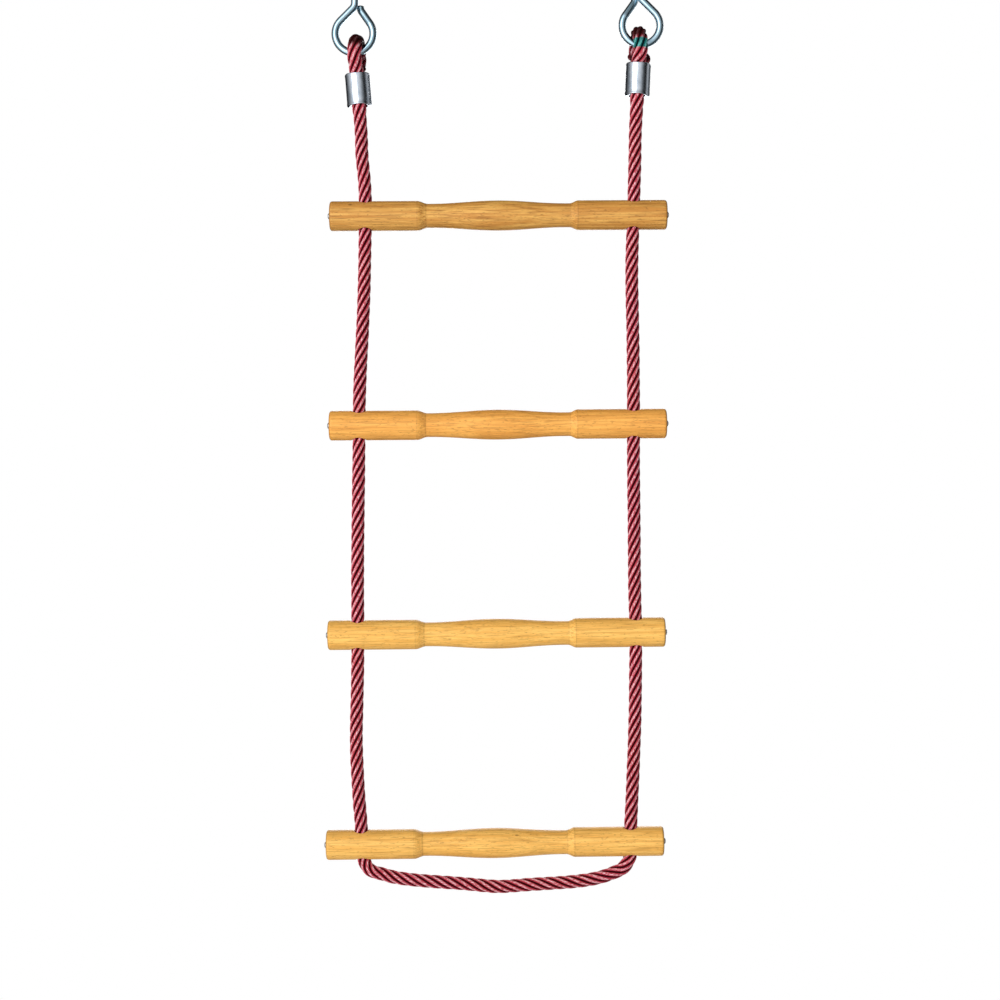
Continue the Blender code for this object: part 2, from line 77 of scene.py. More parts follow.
# Half the cross recess's length and width, the share of its length at its foot, and where the foot is
RECESS = (2.1 * MM, 0.45 * MM)
RECESS_TAPER = 0.55
RECESS_FOOT = 0.45
SCREW_SHARP_ANGLE = 35

WIRE_RADIUS = 4.4 * MM
HANGING_RADIUS = 25.5 * MM
EYE_RADIUS = 22.6 * MM
EYE_CENTRE_X = 171.3 * MM
EYE_BOTTOM = {"left": -126.0 * MM, "right": -116.4 * MM}
EYE_ARC = (30, -225)
CRANK_TOP = {"left": -20 * MM, "right": -12 * MM}
SHANK_X = 0.8 * MM
SHANK_START = 32.8 * MM
SHANK_BEND = 10 * MM
FREE_END = [(0.0072, 0.0072, 0.0345), (0.0072, 0.0069, 0.0299), (0.0172, 0.0009, 0.0152)]
FREE_END_BEND = 8 * MM
FILLET_STEPS = 12
TIP = [(0.0255, -0.008), (0.0295, -0.019)]
TIP_BEND = 12 * MM

LOOP_X = 168.0 * MM
LOOP_ROPE_DEPTH = 7.6 * MM
LOOP_ROPE_WIDTH = 8.8 * MM
LOOP_RADIUS = 14.3 * MM
LOOP_SPLAY = 2.0 * MM
SPLAY_OVER_WIRE = 0.8
LOOP_LEG = [(14 * MM, 10.6 * MM), (5 * MM, LOOP_RADIUS - 0.3 * MM)]
LEG_OFFSET = 6.5 * MM
SLEEVE_LENGTH = 40 * MM
# Half the bore's width and half its depth, from front to back
SLEEVE_BORE = (9.0 * MM, 12.9 * MM)
SLEEVE_TOP = {"left": -151.0 * MM, "right": -138.6 * MM}
INSIDE_SLEEVE = 10 * MM
ROPE_JOIN = 0.6 * SLEEVE_LENGTH
TAIL_BELOW_SLEEVE = 1.0 * MM
SQUEEZED_DEPTH = 6.2 * MM
SQUEEZED_WIDTH = 8.6 * MM
SQUEEZE_ABOVE_SLEEVE = (2 * MM, 13 * MM)
SWELL_BELOW_SLEEVE = (2 * MM, 16 * MM)

# The rope's centreline in the plane y = 0, from sleeve to lowest rung on each side ...
LEFT_LEG = [
    (-0.1651, -0.188), (-0.1635, -0.207), (-0.1626, -0.228), (-0.1618, -0.250), (-0.1596, -0.272),
    (-0.1581, -0.295), (-0.1578, -0.321), (-0.1582, -0.350), (-0.1589, -0.390), (-0.1603, -0.436),
    (-0.1625, -0.482), (-0.1645, -0.524), (-0.1653, -0.571), (-0.1656, -0.604), (-0.1662, -0.655),
    (-0.1669, -0.712), (-0.1671, -0.768), (-0.1668, -0.821), (-0.1670, -0.858), (-0.1680, -0.907),
    (-0.1686, -0.952), (-0.1672, -0.987), (-0.1648, -1.025), (-0.1626, -1.053), (-0.1598, -1.088),
]
RIGHT_LEG = [
    (0.1663, -0.179), (0.1652, -0.197), (0.1645, -0.222), (0.1640, -0.252), (0.1632, -0.283),
    (0.1622, -0.320), (0.1607, -0.360), (0.1603, -0.400), (0.1612, -0.445), (0.1620, -0.500),
    (0.1623, -0.569), (0.1623, -0.622), (0.1629, -0.676), (0.1634, -0.745), (0.1643, -0.792),
    (0.1650, -0.818), (0.1648, -0.858), (0.1643, -0.906), (0.1630, -0.953), (0.1613, -0.996),
    (0.1595, -1.036), (0.1589, -1.067), (0.1583, -1.085),
]
# ... and from the left exit of the lowest rung to the right one
BOTTOM = [
    (-0.1556, -1.098), (-0.1496, -1.1032), (-0.140, -1.106), (-0.128, -1.1093), (-0.1137, -1.112),
    (-0.085, -1.115), (-0.0564, -1.117), (-0.0277, -1.1193), (0.001, -1.1215), (0.0296, -1.1198),
    (0.0583, -1.118), (0.0869, -1.116), (0.113, -1.1126), (0.130, -1.1082), (0.1405, -1.1042),
    (0.149, -1.100), (0.1542, -1.0942),
]
LEGS = {"left": LEFT_LEG, "right": RIGHT_LEG}
FREE_LEG_START = 2
# Points of the route that are less than this from a sleeve, sideways, are on its side
SAME_SIDE = 60 * MM

# ---------------------------------------------------------------- how the rope is laid

STRANDS = 6
LAY = 80.6 * MM
HELIX_RADIUS = 5.33 * MM
STRAND_DEPTH = 2.67 * MM
STRAND_WIDTH = 2.89 * MM
STRAND_SAMPLES = 24
ROPE_STEP = 0.75 * MM
LOOP_PHASE = {"left": 0.31, "right": 0.43}
PAINT_BAND = (-0.1244, -0.1116)
PAINT_EDGE = 1.2 * MM
PAINT_WANDER = 0.8 * MM
# The strands of each loop's rear leg spread sideways just above the sleeve
SPREAD = {"left": 0.20, "right": 0.65}
SPREAD_SHIFT = {"left": 0.0, "right": 3.0 * MM}
SPREAD_ABOVE_SLEEVE = 9.0 * MM
SPREAD_REACH = 3.4 * MM
# Painted shade on each loop's rear leg: it sets in over this distance behind the rope's middle, and away from
# the spread strands it keeps this share of its full strength
SHADE_RAMP_BEHIND = 3 * MM
REAR_SHADE_SHARE = 0.4
# Each loop's colour darkens between these two heights above the eye wire's lowest point
DARKER_ABOVE_WIRE = (1 * MM, 10 * MM)
YARN_WIDTH = 1.5 * MM
YARN_SLOPE = 0.45
YARN_HEIGHT = 0.42 * MM
# Each strand starts its yarns, its slack and its fibres somewhere else
YARN_SHIFT = 0.37
SLACK_SHIFT = 2.1
FIBRE_SHIFT = 1.3
SLACK = 0.06 * MM
SLACK_WAVE = 23 * MM


def unit(vectors):
    return vectors / np.linalg.norm(vectors, axis=-1, keepdims=True)


def smooth_step(value, start, stop):
    """0 before start and 1 after stop, with a smooth rise between them."""
    t = np.clip((value - start) / (stop - start), 0.0, 1.0)
    return t * t * (3 - 2 * t)


# ---------------------------------------------------------------- routes

def smooth_route(knots):
    """A natural cubic spline through the points, sampled about every millimetre along its length."""
    knots = np.array(knots, float)
    chords = np.linalg.norm(np.diff(knots, axis=0), axis=1)
    n = len(knots)
    matrix = np.zeros((n, n))
    right = np.zeros((n, 3))
    matrix[0, 0] = 1.0
    matrix[-1, -1] = 1.0
    for i in range(1, n - 1):
        matrix[i, i - 1] = chords[i - 1]
        matrix[i, i] = 2 * (chords[i - 1] + chords[i])
        matrix[i, i + 1] = chords[i]
        right[i] = 6 * ((knots[i + 1] - knots[i]) / chords[i] - (knots[i] - knots[i - 1]) / chords[i - 1])
    bend = np.linalg.solve(matrix, right)
    route = []
    for i, chord in enumerate(chords):
        count = max(2, int(chord / (1.0 * MM)))
        for t in np.arange(count) / count:
            u = 1 - t
            line = u * knots[i] + t * knots[i + 1]
            route.append(line + ((u**3 - u) * bend[i] + (t**3 - t) * bend[i + 1]) * chord**2 / 6)
    route.append(knots[-1])
    return np.array(route)


def lengths(points):
    """The distance along the points to each of them."""
    return np.concatenate([[0.0], np.cumsum(np.linalg.norm(np.diff(points, axis=0), axis=1))])


def resample(points, step):
    """The same line with points about a step apart."""
    points = np.array(points, float)
    along = lengths(points)
    at = np.linspace(0, along[-1], int(round(along[-1] / step)) + 1)
    return np.stack([np.interp(at, along, points[:, k]) for k in range(3)], axis=1)


def arc(centre, radius, start, stop, steps, across, up):
    """Points round a centre, in the plane of two directions, from angle start to stop in degrees."""
    angles = np.radians(np.linspace(start, stop, steps))[:, None]
    return list(centre + radius * (np.cos(angles) * across + np.sin(angles) * up))


def filleted(corners, radius):
    """A line through the corners, with each inner corner rounded to the radius."""
    points = [corners[0]]
    for before, corner, after in zip(corners, corners[1:], corners[2:]):
        back = unit(before - corner)
        ahead = unit(after - corner)
        turn = math.pi - math.acos(float(back @ ahead))
        centre = corner + unit(back + ahead) * (radius / math.cos(turn / 2))
        out = unit(corner + back * radius * math.tan(turn / 2) - centre)
        points += arc(centre, radius, 0, math.degrees(turn), FILLET_STEPS, out, -back)
    points.append(corners[-1])
    return points


def in_plane(points):
    return [np.array([x, 0.0, z]) for x, z in points]


def side_sign(side):
    return 1 if side == "right" else -1


def sleeve_line(side):
    """The sleeve's top centre and its direction, from below the eye to where the rope's leg starts."""
    top = np.array([side_sign(side) * LOOP_X, 0.0, SLEEVE_TOP[side]])
    return top, unit(in_plane(LEGS[side])[0] - top)


def upper_end(side):
    """The rope's first knots, in the front half of the sleeve and at its mouth."""
    top, along = sleeve_line(side)
    first = top + along * ROPE_JOIN + FRONT * LEG_OFFSET
    mouth = top + along * (SLEEVE_LENGTH + SWELL_BELOW_SLEEVE[0]) + FRONT * LEG_OFFSET
    return [first, (first + mouth) / 2, mouth]


def main_route():
    """The rope from the left sleeve, down, across under the lowest rung and up to the right sleeve."""
    left = upper_end("left") + in_plane(LEFT_LEG)[FREE_LEG_START:]
    right = upper_end("right") + in_plane(RIGHT_LEG)[FREE_LEG_START:]
    return resample(smooth_route(left + in_plane(BOTTOM) + right[::-1]), ROPE_STEP)


def loop_route(side):
    """The rope's end: up out of the sleeve in front, over the eye's wire and down behind it."""
    top, along = sleeve_line(side)
    wire = np.array([top[0], 0.0, EYE_BOTTOM[side]])
    splay = -side_sign(side) * LOOP_SPLAY * ACROSS

    def leg(out, end):
        line = [end + out * LEG_OFFSET]
        line.append(top + along * INSIDE_SLEEVE + out * LEG_OFFSET)
        line.append(top + out * LEG_OFFSET)
        for share, (down, away) in zip((0.6, 1.0), LOOP_LEG):
            line.append(wire - UP * down + out * away + splay * share * out[1])
        return line

    front_leg = leg(FRONT, top + along * (ROPE_JOIN - ROPE_STEP))
    over = arc(wire, LOOP_RADIUS, 10, 170, 9, FRONT, UP)
    over = [point + splay * (k / 4 - 1) * SPLAY_OVER_WIRE for k, point in enumerate(over)]
    rear_leg = leg(-FRONT, top + along * (SLEEVE_LENGTH + TAIL_BELOW_SLEEVE))
    return resample(smooth_route(front_leg + over + rear_leg[::-1]), ROPE_STEP)


# ---------------------------------------------------------------- meshes

def grid_mesh(name, rings, closed=False, values=None):
    """A closed body from rings of points. The ends are closed by a fan, or the last ring meets the first."""
    count, sides = rings.shape[:2]
    points = rings.reshape(-1, 3)
    if not closed:
        points = np.vstack([points, rings[0].mean(axis=0), rings[-1].mean(axis=0)])
    index = np.arange(count * sides).reshape(count, sides)
    beside = np.roll(index, -1, axis=1)
    if closed:
        after, after_beside = np.roll(index, -1, axis=0), np.roll(beside, -1, axis=0)
        quads = np.stack([index, beside, after_beside, after], axis=-1).reshape(-1, 4)
        fans = np.zeros((0, 3), int)
    else:
        quads = np.stack([index[:-1], beside[:-1], beside[1:], index[1:]], axis=-1).reshape(-1, 4)
        first = np.full(sides, count * sides)
        fans = np.vstack([
            np.stack([first, beside[0], index[0]], axis=-1),
            np.stack([first + 1, index[-1], beside[-1]], axis=-1),
        ])
    mesh = bpy.data.meshes.new(name)
    mesh.vertices.add(len(points))
    mesh.vertices.foreach_set("co", points.astype(np.float32).ravel())
    corners = np.concatenate([quads.ravel(), fans.ravel()])
    mesh.loops.add(len(corners))
    mesh.loops.foreach_set("vertex_index", corners.astype(np.int32))
    mesh.polygons.add(len(quads) + len(fans))
    starts = np.concatenate([np.arange(len(quads)) * 4, len(quads) * 4 + np.arange(len(fans)) * 3])
    mesh.polygons.foreach_set("loop_start", starts.astype(np.int32))
    mesh.update(calc_edges=True)
    mesh.shade_smooth()
    for label, value in (values or {}).items():
        add_attribute(mesh, label, value, len(points))
    obj = bpy.data.objects.new(name, mesh)
    bpy.context.scene.collection.objects.link(obj)
    return obj


def add_attribute(mesh, label, value, count):
    """A named number for each point, which the material reads. Fan centres take their ring's mean."""
    flat = value.reshape(-1)
    spare = count - len(flat)
    if spare:
        flat = np.concatenate([flat, [value[0].mean(), value[-1].mean()]])
    mesh.attributes.new(label, "FLOAT", "POINT").data.foreach_set("value", flat.astype(np.float32))


def frames(points, first):
    """Unit tangents of the line, with two directions across it that turn with it as little as they can."""
    tangent = unit(np.gradient(points, axis=0))
    normal = np.zeros_like(points)
    current = np.array(first, float)
    for i, t in enumerate(tangent):
        current = unit(current - (current @ t) * t)
        normal[i] = current
    return tangent, normal, np.cross(tangent, normal)


def sweep(points, first, outline):
    """Rings along the line. outline gives (along the first direction, along the second) for each ring."""
    _, normal, other = frames(points, first)
    return points[:, None] + normal[:, None] * outline[..., :1] + other[:, None] * outline[..., 1:]


def circle(sides):
    angles = np.arange(sides) * 2 * math.pi / sides
    return np.stack([np.cos(angles), np.sin(angles)], axis=-1)


# ---------------------------------------------------------------- the rope

def strand_edge():
    """The angle round a strand at which it meets its neighbour."""
    angles = np.linspace(math.pi / 4, math.pi * 0.75, 400)
    lean = np.arctan2(STRAND_WIDTH * np.sin(angles), HELIX_RADIUS + STRAND_DEPTH * np.cos(angles))
    return float(np.interp(math.pi / STRANDS, lean, angles))


def rope_piece(name, points, start, first, depth, width, first_is_width=False, paint=None, age=None):
    """A length of laid rope along the points, whose first one is a distance start along the whole rope.

    depth and width scale its section front to back and from side to side. paint and the last function
    map the surface's points and each point's strand to 0 ... 1: the teal band, and where the colour darkens,
    over the loop's top and as painted shade on its rear leg.
    """
    along = start + lengths(points)
    edge = strand_edge()
    lean = np.linspace(-edge, edge, STRAND_SAMPLES, endpoint=False)[None, None]
    strand = np.arange(STRANDS)[None, :, None]
    s = along[:, None, None]
    yarn = (lean * STRAND_WIDTH + YARN_SLOPE * s) / YARN_WIDTH + strand * YARN_SHIFT
    ridge = 1 - (2 * (yarn % 1.0) - 1) ** 2
    slack = SLACK * np.sin(s / SLACK_WAVE + strand * SLACK_SHIFT) - SLACK
    sunk = YARN_HEIGHT * (ridge - 1) + slack
    u = HELIX_RADIUS + (STRAND_DEPTH + sunk) * np.cos(lean)
    v = (STRAND_WIDTH + sunk) * np.sin(lean)
    turn = 2 * math.pi * (s / LAY + strand / STRANDS)
    x = u * np.cos(turn) - v * np.sin(turn)
    y = u * np.sin(turn) + v * np.cos(turn)
    count = len(points)
    if first_is_width:
        depth, width = width, depth
    outline = np.stack([x * depth[:, None, None], y * width[:, None, None]], axis=-1)
    rings = sweep(points, first, outline.reshape(count, -1, 2))
    reach = HELIX_RADIUS + STRAND_DEPTH
    deepest = math.hypot(HELIX_RADIUS + STRAND_DEPTH * math.cos(edge), STRAND_WIDTH * math.sin(edge))
    values = {
        "crown": (np.hypot(u, v) - deepest) / (reach - deepest) + 0 * turn,
        "crest": np.cos(lean) + 0 * turn,
        "yarn": yarn + 0 * turn,
        "ridge": ridge + 0 * turn,
        "along": s + strand * FIBRE_SHIFT + 0 * lean,
    }
    values = {label: value.reshape(count, -1) for label, value in values.items()}
    strands = np.broadcast_to(strand, yarn.shape).reshape(count, -1)
    for label, shade in (("paint", paint), ("age", age)):
        values[label] = shade(rings, strands) if shade else np.zeros((count, rings.shape[1]))
    return grid_mesh(name, rings, values=values)


def blend_at(piece):
    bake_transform(piece)


def axis_height(number, x):
    centre_x, centre_z = RUNG_CENTRES[number]
    return centre_z + (x - centre_x) * math.tan(math.radians(RUNG_TILTS[number]))


def crossings(route):
    """Where the route crosses each rung's axis: {side: the index of its point for each rung}."""
    lowest = int(np.argmin(route[:, 2]))
    found = {"left": [], "right": []}
    for number in range(len(RUNG_CENTRES)):
        off = np.abs(route[:, 2] - axis_height(number, route[:, 0]))
        found["left"].append(int(np.argmin(off[:lowest])))
        found["right"].append(lowest + int(np.argmin(off[lowest:])))
    return found


def declare_rope(piece, material, nodes):
    piece.data.materials.append(material)
    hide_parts(*nodes)


def make_ropes(material):
    """The hanging rope, divided inside the rungs and halfway between them, where no piece bends."""
    route = main_route()
    along = lengths(route)
    depth = np.ones(len(route))
    width = np.ones(len(route))
    for side in LEGS:
        top, line = sleeve_line(side)
        near = np.abs(route[:, 0] - top[0]) < SAME_SIDE
        below = (route - top) @ line - SLEEVE_LENGTH
        free = np.where(near, smooth_step(below, *SWELL_BELOW_SLEEVE), 1.0)
        depth *= SQUEEZED_DEPTH / ROPE_RADIUS + (1 - SQUEEZED_DEPTH / ROPE_RADIUS) * free
        width *= SQUEEZED_WIDTH / ROPE_RADIUS + (1 - SQUEEZED_WIDTH / ROPE_RADIUS) * free

    def piece(name, a, b, nodes):
        a, b = min(a, b), max(a, b)
        part = slice(a, b + 1)
        made = rope_piece(name, route[part], along[a], FRONT, depth[part], width[part])
        declare_rope(made, material, nodes)
        return made

    holes = crossings(route)
    for side in LEGS:
        end = 0 if side == "left" else len(route) - 1
        first = holes[side][0]
        top = piece(f"rope_top_{side}_laid", end, first, [f"rope_top_{side}", f"rope_in_rung_1_{side}"])
        blend_at(top)
        for number in range(1, LOWEST + 1):
            above, below = holes[side][number - 1], holes[side][number]
            middle = (above + below) // 2
            bay = f"rope_bay_{number}_{side}"
            upper = piece(f"rope_below_rung_{number}_{side}", above, middle, [bay])
            blend_at(upper)
            inside = f"rope_in_rung_{number + 1}_{side}"
            lower = piece(f"rope_above_rung_{number + 1}_{side}", middle, below, [bay, inside])
            blend_at(lower)
    ends = holes["left"][LOWEST], holes["right"][LOWEST]
    bottom = piece("rope_across_bottom", *ends, ["rope_under_rungs"])
    blend_at(bottom)


def make_loops(material):
    """The rope's ends over the eyes, a little flattened there and squeezed flat in the sleeves."""
    for side in LEGS:
        route = loop_route(side)
        top, along = sleeve_line(side)
        above_sleeve = (top - route) @ along
        free = smooth_step(above_sleeve, *SQUEEZE_ABOVE_SLEEVE)
        depth = (SQUEEZED_DEPTH + (LOOP_ROPE_DEPTH - SQUEEZED_DEPTH) * free) / ROPE_RADIUS
        width = (SQUEEZED_WIDTH + (LOOP_ROPE_WIDTH - SQUEEZED_WIDTH) * free) / ROPE_RADIUS
        swell = np.exp(-(((above_sleeve - SPREAD_ABOVE_SLEEVE) / SPREAD_REACH) ** 2)) * (route[:, 1] > 0)
        width = width * (1 + SPREAD[side] * swell)
        route = route + side_sign(side) * SPREAD_SHIFT[side] * swell[:, None] * ACROSS
        wire_height = EYE_BOTTOM[side]

        def painted(points, strands, side=side):
            """A band of teal paint round the right loop's front leg. Its edge follows the strands."""
            height = points[..., 2] + PAINT_WANDER * np.sin(strands * 2.4)
            band = smooth_step(height, PAINT_BAND[0], PAINT_BAND[0] + PAINT_EDGE)
            band *= 1 - smooth_step(height, PAINT_BAND[1] - PAINT_EDGE, PAINT_BAND[1])
            return band * (points[..., 1] < 0) * (side == "right")

        def dark_top_and_rear_shade(points, strands, wire_height=wire_height, spread_height=top[2] + SPREAD_ABOVE_SLEEVE):
            """A darker colour over the eye's wire, and painted shade down the rear leg, strongest where its
            strands spread.
            """
            darkening = smooth_step(points[..., 2] - wire_height, *DARKER_ABOVE_WIRE)
            spread = np.exp(-(((points[..., 2] - spread_height) / SPREAD_REACH) ** 2))
            behind = smooth_step(points[..., 1], 0.0, SHADE_RAMP_BEHIND)
            return np.maximum(darkening, (REAR_SHADE_SHARE + (1 - REAR_SHADE_SHARE) * spread) * behind)

        piece = rope_piece(
            f"rope_loop_{side}_laid", route, LOOP_PHASE[side], ACROSS, depth, width, True, painted, dark_top_and_rear_shade
        )
        piece.data.materials.append(material)
        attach(piece, "top_ropes")
        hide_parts(f"rope_loop_{side}")


# ---------------------------------------------------------------- rungs and screws

RUNG_SIDES = 96
END_ROUNDING = 3.0 * MM
LEFT_SHOULDER = (-96.5 * MM, -84.0 * MM)
LEFT_NECK = -81.0 * MM
RIGHT_NECK = 79.0 * MM
RIGHT_SHOULDER = (85.0 * MM, 95.5 * MM)
END_CROWN = 0.2 * MM
RUNG_SHARP_ANGLE = 40

HOLE_SIDES = 64
# A rope hole's edge, in mm: how far below the rung's surface, and how much wider than the bore
HOLE_EASING = [(-3.0, 2.3), (0.0, 1.2), (0.3, 0.7), (0.75, 0.28), (1.4, 0.0)]
CUT_PAST_RUNG = 6 * MM
# Half the run of the route's points that gives the rope's direction through a rung
LEAN_REACH = 8


def rung_radius(x):
    """The turned outline: full at the ends, a neck on each side, and a long swell between them."""
    swell_left = 0.5 + 0.5 * np.cos(np.pi * np.clip(x / LEFT_NECK, 0, 1))
    swell_right = 0.5 + 0.5 * np.cos(np.pi * np.clip(x / RIGHT_NECK, 0, 1))
    swell = np.where(x < 0, swell_left, swell_right)
    radius = NECK_RADIUS + (RUNG_MIDDLE_RADIUS - NECK_RADIUS) * swell
    left = 1 - smooth_step(x, *LEFT_SHOULDER)
    right = smooth_step(x, *RIGHT_SHOULDER)
    return radius + (RUNG_RADIUS - NECK_RADIUS) * (left + right)


def rung_outline():
    """(x, radius) from the left end's centre to the right end's, with rounded edges."""
    end = RUNG_LENGTH / 2
    fine = np.concatenate([np.arange(-100, -76, 1.0), np.arange(76, 100, 1.0)]) * MM
    coarse = [np.arange(-196, -100, 4.0), np.arange(-76, 76, 4.0), np.arange(100, 197, 4.0)]
    xs = np.sort(np.concatenate([fine, np.concatenate(coarse) * MM]))
    body = [(x, float(rung_radius(x))) for x in xs]
    corner = []
    for angle in np.radians(np.linspace(0, 90, 9)):
        drop = END_ROUNDING * (1 - math.sin(angle))
        corner.append((end - drop, RUNG_RADIUS - END_ROUNDING * (1 - math.cos(angle))))
    flat = RUNG_RADIUS - END_ROUNDING
    face = [(end + END_CROWN * (1 - r), r * flat) for r in (0.8, 0.55, 0.3, 0.1)]
    right = corner + face
    left = [(-x, radius) for x, radius in right[::-1]]
    return left + body + right


def flared_cutter(name, x, tilt):
    """A rope hole's cutter: vertical, with its edges eased where they meet the round rung."""
    around = np.arange(HOLE_SIDES) * 2 * math.pi / HOLE_SIDES
    radius = BORE_RADIUS + HOLE_EASING[0][1] * MM
    flat_end = np.full(HOLE_SIDES, RUNG_RADIUS + CUT_PAST_RUNG)
    rings = [np.stack([radius * np.cos(around), radius * np.sin(around), flat_end], axis=-1)]
    for depth, extra in HOLE_EASING:
        radius = BORE_RADIUS + extra * MM
        y = radius * np.sin(around)
        z = np.sqrt(RUNG_RADIUS**2 - np.minimum(y, RUNG_RADIUS) ** 2) - depth * MM
        rings.append(np.stack([radius * np.cos(around), y, z], axis=-1))
    mirrored = [ring * np.array([1, 1, -1]) for ring in rings]
    rings = np.array(mirrored + rings[::-1])
    rings[..., 0] += rings[..., 2] * math.tan(tilt) + x
    return grid_mesh(name, rings)


def cut_out(obj, cutters):
    """obj less the cutters, with its mesh replaced by the result and the cutters removed."""
    for cutter in cutters:
        boolean = obj.modifiers.new(cutter.name, "BOOLEAN")
        boolean.operation = "DIFFERENCE"
        boolean.solver = "MANIFOLD"
        boolean.object = cutter
    bpy.context.view_layer.update()
    mesh = bpy.data.meshes.new_from_object(obj.evaluated_get(bpy.context.evaluated_depsgraph_get()))
    mesh.materials.clear()
    obj.modifiers.clear()
    obj.data = mesh
    for cutter in cutters:
        bpy.data.objects.remove(cutter)


def rung_placement(number):
    x, z = RUNG_CENTRES[number]
    return Matrix.Translation((x, 0, z)) @ Matrix.Rotation(-math.radians(RUNG_TILTS[number]), 4, "Y")


def make_rungs(route, screw_material):
    """The four rungs, turned, drilled for the rope and shaded in each one's own tone."""
    holes = crossings(route)
    screw_mesh = make_screw_mesh(screw_material)
    for number in range(len(RUNG_CENTRES)):
        outline = np.array(rung_outline())
        ring = circle(RUNG_SIDES)[None] * outline[:, 1][:, None, None]
        line = np.stack([outline[:, 0], 0 * outline[:, 0], 0 * outline[:, 0]], axis=-1)
        name = f"rung_{number + 1}_turned"
        rung = grid_mesh(name, straight_rings(line, ring))
        placement = rung_placement(number)
        cutters = []
        for side in LEGS:
            at = holes[side][number]
            here = placement.inverted() @ Vector(route[at])
            ahead = unit(route[at + LEAN_REACH] - route[at - LEAN_REACH])
            lean = math.atan2(ahead[0], ahead[2]) + math.radians(RUNG_TILTS[number])
            lean = (lean + math.pi / 2) % math.pi - math.pi / 2
            cutters.append(flared_cutter(f"hole_{number + 1}_{side}", here.x, lean))
        cut_out(rung, cutters)
        rung.data.set_sharp_from_angle(angle=math.radians(RUNG_SHARP_ANGLE))
        rung.data.materials.append(wood_material(number))
        rung.matrix_world = placement
        body = f"rung_{number + 1}_body"
        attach(rung, body)
        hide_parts(f"rung_{number + 1}")
        for side in LEGS:
            screw = bpy.data.objects.new(f"screw_{number + 1}_{side}_driven", screw_mesh)
            bpy.context.scene.collection.objects.link(screw)
            sign = side_sign(side)
            outward = Matrix.Rotation(sign * math.pi / 2, 4, "Y")
            spin = Matrix.Rotation(0.5 * number + sign, 4, "Z")
            at_end = Matrix.Translation((sign * RUNG_LENGTH / 2, 0, 0))
            screw.matrix_world = placement @ at_end @ outward @ spin
            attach(screw, body)
            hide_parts(f"screw_{number + 1}_{side}")


def straight_rings(line, ring):
    """Rings round a line that runs along X: the first direction is front, the second down."""
    down = np.cross(ACROSS, FRONT)
    return line[:, None] + FRONT * ring[..., :1] + down * ring[..., 1:]


def make_screw_mesh(material):
    """A pan head with a cross recess and the start of its shank; the head stands on z = 0."""
    height, radius = SCREW_HEAD_HEIGHT, SCREW_HEAD_RADIUS
    shank_depth, shank_radius = SCREW_SHANK
    outline = [(-shank_depth, shank_radius), (0.15 * MM, shank_radius)]
    outline += [(0.15 * MM, 0.97 * radius), (0.3 * MM, radius), (SCREW_RIM * height, radius)]
    for angle in np.radians(np.linspace(15, 85, 7)):
        up = SCREW_RIM * height + SCREW_DOME * height * math.sin(angle)
        outline.append((up, radius * (0.25 + 0.75 * math.cos(angle))))
    outline.append((height, 0.12 * radius))
    outline = np.array(outline)
    rings = np.zeros((len(outline), 40, 3))
    rings[..., :2] = circle(40)[None] * outline[:, 1][:, None, None]
    rings[..., 2] = outline[:, 0][:, None]
    head = grid_mesh("screw_head", rings)
    cutters = []
    for name, turn in (("slot_a", 0.0), ("slot_b", math.pi / 2)):
        slot = np.array([[-1, -1], [1, -1], [1, 1], [-1, 1]]) * np.array(RECESS)
        rings = np.zeros((2, 4, 3))
        rings[..., :2] = slot[None] * np.array([RECESS_TAPER, 1.0])[:, None, None]
        rings[..., 2] = np.array([RECESS_FOOT * height, height + 1 * MM])[:, None]
        cutter = grid_mesh(name, rings)
        cutter.matrix_world = Matrix.Rotation(turn, 4, "Z")
        cutters.append(cutter)
    cut_out(head, cutters)
    mesh = head.data
    mesh.set_sharp_from_angle(angle=math.radians(SCREW_SHARP_ANGLE))
    mesh.materials.append(material)
    bpy.data.objects.remove(head)
    return mesh


# ---------------------------------------------------------------- hooks and sleeves

WIRE_SIDES = 32
WIRE_STEP = 1.2 * MM
# The end faces are this share of the bar's radius, and the first direction across the bar
WIRE_CHAMFER = 0.8
WIRE_SEAM = [0.0, -0.6, 0.8]


def hook_route(side):
    """Round bar: a pear-shaped eye facing front, a shank cranked forward and a hook over the bar."""
    inward = -side_sign(side) * ACROSS
    centre = np.array([side_sign(side) * EYE_CENTRE_X, 0.0, EYE_BOTTOM[side] + EYE_RADIUS])
    bar = centre + inward * SHANK_X - UP * centre[2]

    def from_eye(over, back, up):
        return centre + inward * over - FRONT * back + UP * up

    free_end = filleted([from_eye(*place) for place in FREE_END], FREE_END_BEND)
    eye = arc(centre, EYE_RADIUS, *EYE_ARC, 90, inward, UP)
    crank_top = CRANK_TOP[side]
    shank = filleted([
        eye[-1],
        from_eye(SHANK_X, 0, SHANK_START),
        bar + UP * (crank_top - HANGING_RADIUS),
        bar + UP * crank_top + FRONT * HANGING_RADIUS,
        bar + FRONT * HANGING_RADIUS,
    ], SHANK_BEND)
    over = arc(bar, HANGING_RADIUS, 180, 0, 60, -FRONT, UP)
    tip = filleted([over[-1]] + [bar - FRONT * back + UP * up for back, up in TIP], TIP_BEND)
    return resample(free_end[:-1] + eye + shank[1:] + over[1:] + tip[1:], WIRE_STEP)


